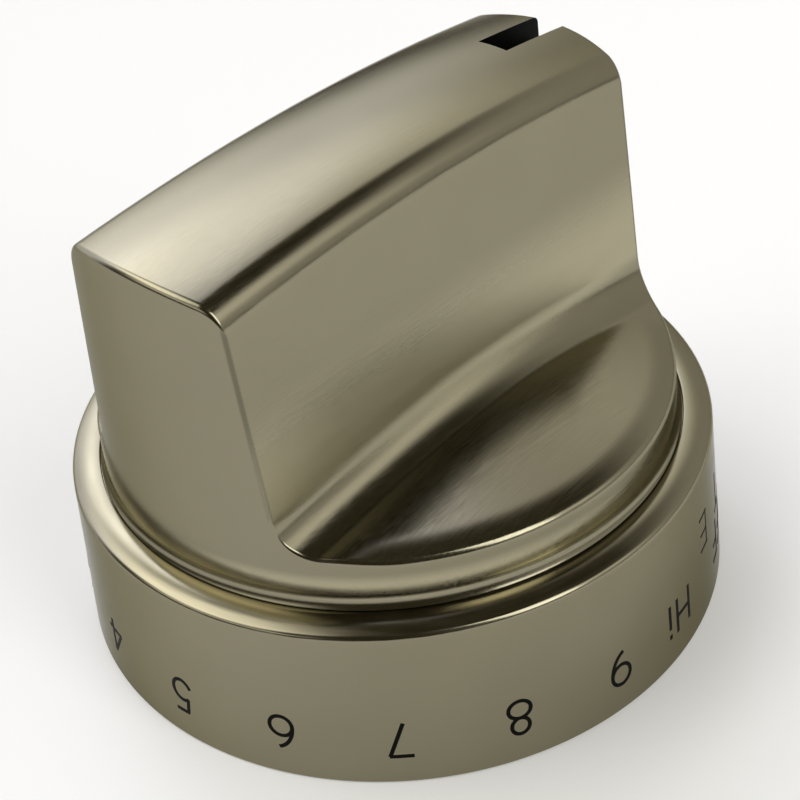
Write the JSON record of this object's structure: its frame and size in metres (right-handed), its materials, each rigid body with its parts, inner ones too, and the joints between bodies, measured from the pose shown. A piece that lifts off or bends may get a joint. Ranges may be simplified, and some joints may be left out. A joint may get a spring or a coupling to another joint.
{
  "type": "oven control knob",
  "caption": "Round metal oven knob: straight crowned grip blade with a pointer slot on a numbered dial skirt, with a plastic hub for a flatted stem underneath.",
  "frame": {"origin": "centre of the skirt's lower edge, where the knob's axis meets the panel's face", "axes": "+Z along the knob's axis, out of the panel; +X along the blade, towards the pointer slot"},
  "size_m": [0.056, 0.056, 0.0431],
  "materials": {
    "satin_metal": "satin nickel plate, brushed",
    "skirt_metal": "satin nickel plate, turned",
    "black_plastic": "moulded, matt",
    "spring_steel": "tempered, smooth",
    "zinc_screw": "zinc plated"
  },
  "bodies": {
    "root": {"grip": "satin_metal", "dial_skirt": "skirt_metal", "stem_hub": "black_plastic", "clip_ring": "spring_steel", "hub_screws": "zinc_screw"}
  },
  "joints": []
}
